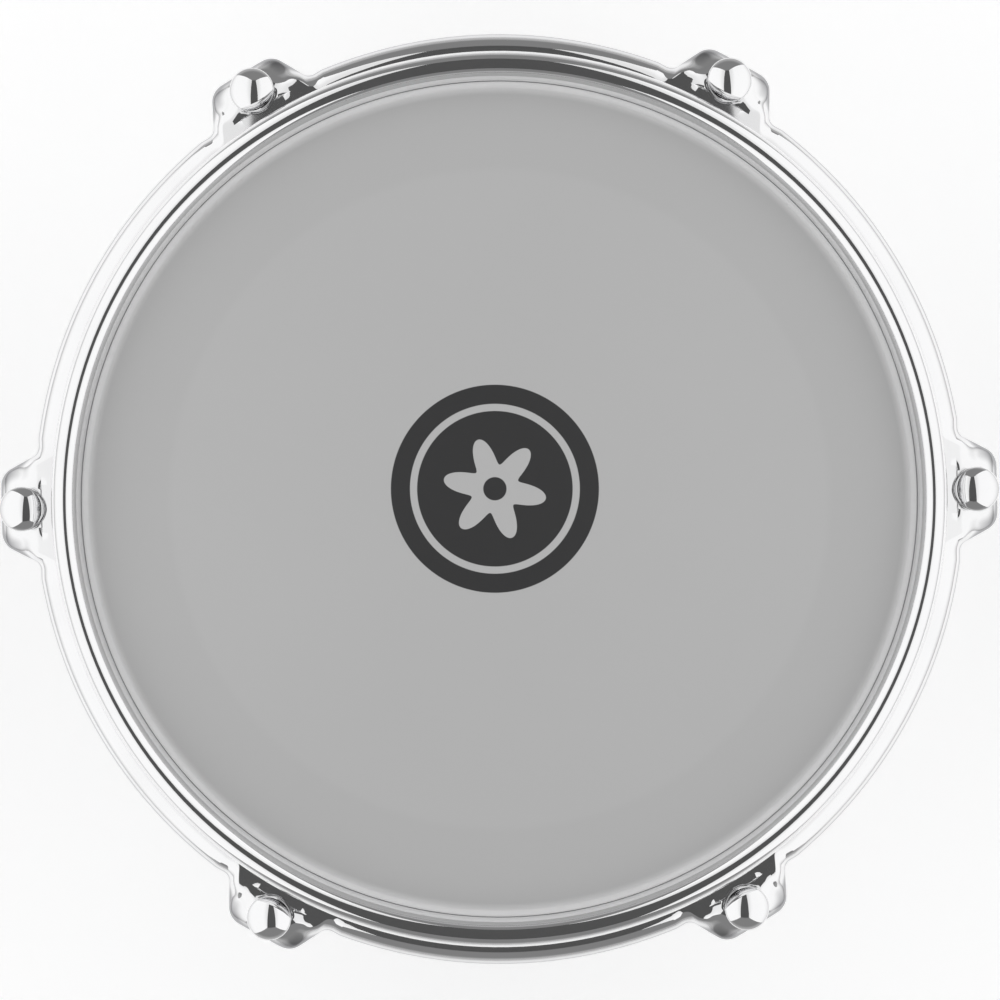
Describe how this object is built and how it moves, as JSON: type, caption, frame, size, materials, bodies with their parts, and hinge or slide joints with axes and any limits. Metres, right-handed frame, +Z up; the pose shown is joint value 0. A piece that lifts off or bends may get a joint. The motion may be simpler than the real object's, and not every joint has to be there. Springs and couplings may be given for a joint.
{
  "type": "timbale drum",
  "caption": "Open-bottomed steel timbale with a translucent plastic head, held by an eared counterhoop on tension bolts and lugs, and an eye bolt clamp for a stand's rod.",
  "frame": {"origin": "centre of the shell's lower rim, on the surface the drum stands on", "axes": "+Z up the drum's axis, +X through tension bolt 1, with the rod bracket 30 degrees from +X towards +Y"},
  "size_m": [0.3112, 0.2896, 0.177],
  "materials": {
    "hoop_chrome": "bright chrome plate on pressed steel",
    "shell_chrome": "bright chrome plate on rolled steel sheet",
    "bolt_chrome": "bright chrome plate on turned steel",
    "lug_chrome": "bright chrome plate on a casting",
    "head_plastic": "satin translucent grey film with a printed disc",
    "aluminium": "plain rolled aluminium",
    "zinc_steel": "zinc plate",
    "black_rubber": "matt black"
  },
  "bodies": {
    "shell": {"shell": "shell_chrome", "head_film": "head_plastic", "nut_washer_1": "zinc_steel", "nut_washer_2": "zinc_steel", "nut_washer_3": "zinc_steel", "nut_washer_4": "zinc_steel", "nut_washer_5": "zinc_steel", "nut_washer_6": "zinc_steel", "lug_1": "lug_chrome", "lug_2": "lug_chrome", "lug_3": "lug_chrome", "lug_4": "lug_chrome", "lug_5": "lug_chrome", "lug_6": "lug_chrome", "lug_gasket_1": "black_rubber", "lug_gasket_2": "black_rubber", "lug_gasket_3": "black_rubber", "lug_gasket_4": "black_rubber", "lug_gasket_5": "black_rubber", "lug_gasket_6": "black_rubber", "lug_screw_1_lower": "zinc_steel", "lug_screw_1_upper": "zinc_steel", "lug_screw_2_lower": "zinc_steel", "lug_screw_2_upper": "zinc_steel", "lug_screw_3_lower": "zinc_steel", "lug_screw_3_upper": "zinc_steel", "lug_screw_4_lower": "zinc_steel", "lug_screw_4_upper": "zinc_steel", "lug_screw_5_lower": "zinc_steel", "lug_screw_5_upper": "zinc_steel", "lug_screw_6_lower": "zinc_steel", "lug_screw_6_upper": "zinc_steel", "rod_bracket": "lug_chrome", "bracket_gasket": "black_rubber", "backing_plate": "zinc_steel", "bracket_screw_lower": "zinc_steel", "bracket_screw_upper": "zinc_steel", "wing_washer": "zinc_steel"},
    "hoop": {"counterhoop": "hoop_chrome", "flesh_hoop": "aluminium", "tension_bolt_1": "bolt_chrome", "tension_bolt_2": "bolt_chrome", "tension_bolt_3": "bolt_chrome", "tension_bolt_4": "bolt_chrome", "tension_bolt_5": "bolt_chrome", "tension_bolt_6": "bolt_chrome"},
    "eye_bolt": {"eye_bolt": "bolt_chrome"},
    "wing_nut": {"wing_nut": "bolt_chrome"},
    "nut_1": {"tuning_nut_1": "bolt_chrome"},
    "nut_2": {"tuning_nut_2": "bolt_chrome"},
    "nut_3": {"tuning_nut_3": "bolt_chrome"},
    "nut_4": {"tuning_nut_4": "bolt_chrome"},
    "nut_5": {"tuning_nut_5": "bolt_chrome"},
    "nut_6": {"tuning_nut_6": "bolt_chrome"}
  },
  "joints": [
    {"name": "tune_1", "type": "hinge", "parent": "shell", "child": "nut_1", "pos_m": [0.1476, 0, 0.0825], "axis": [0, 0, 1], "range_deg": [-288.1, 720.1]},
    {"name": "tune_2", "type": "hinge", "parent": "shell", "child": "nut_2", "pos_m": [0.0738, 0.12782, 0.0825], "axis": [0, 0, 1], "range_deg": [-288.1, 720.1]},
    {"name": "tune_3", "type": "hinge", "parent": "shell", "child": "nut_3", "pos_m": [-0.0738, 0.12782, 0.0825], "axis": [0, 0, 1], "range_deg": [-288.1, 720.1]},
    {"name": "tune_4", "type": "hinge", "parent": "shell", "child": "nut_4", "pos_m": [-0.1476, 0, 0.0825], "axis": [0, 0, 1], "range_deg": [-288.1, 720.1]},
    {"name": "tune_5", "type": "hinge", "parent": "shell", "child": "nut_5", "pos_m": [-0.0738, -0.12782, 0.0825], "axis": [0, 0, 1], "range_deg": [-288.1, 720.1]},
    {"name": "tune_6", "type": "hinge", "parent": "shell", "child": "nut_6", "pos_m": [0.0738, -0.12782, 0.0825], "axis": [0, 0, 1], "range_deg": [-288.1, 720.1]},
    {"name": "tension_travel", "type": "slide", "parent": "shell", "child": "hoop", "axis": [0, 0, -1], "range_m": [-0.001, 0.0025], "deforming": ["head_film"]},
    {"name": "wing_turn", "type": "hinge", "parent": "shell", "child": "wing_nut", "pos_m": [0.11222, 0.08303, 0.108], "axis": [0.5, -0.866, 0], "range_deg": [-540.1, 180.1]},
    {"name": "eye_travel", "type": "slide", "parent": "shell", "child": "eye_bolt", "axis": [-0.5, 0.866, 0], "range_m": [-0.0015, 0.0005]}
  ],
  "couplings": [
    {"joint": "tune_1", "follows": "tension_travel", "rad_per_m": 5026.5},
    {"joint": "tune_2", "follows": "tension_travel", "rad_per_m": 5026.5},
    {"joint": "tune_3", "follows": "tension_travel", "rad_per_m": 5026.5},
    {"joint": "tune_4", "follows": "tension_travel", "rad_per_m": 5026.5},
    {"joint": "tune_5", "follows": "tension_travel", "rad_per_m": 5026.5},
    {"joint": "tune_6", "follows": "tension_travel", "rad_per_m": 5026.5},
    {"joint": "wing_turn", "follows": "eye_travel", "rad_per_m": 6283.2}
  ]
}
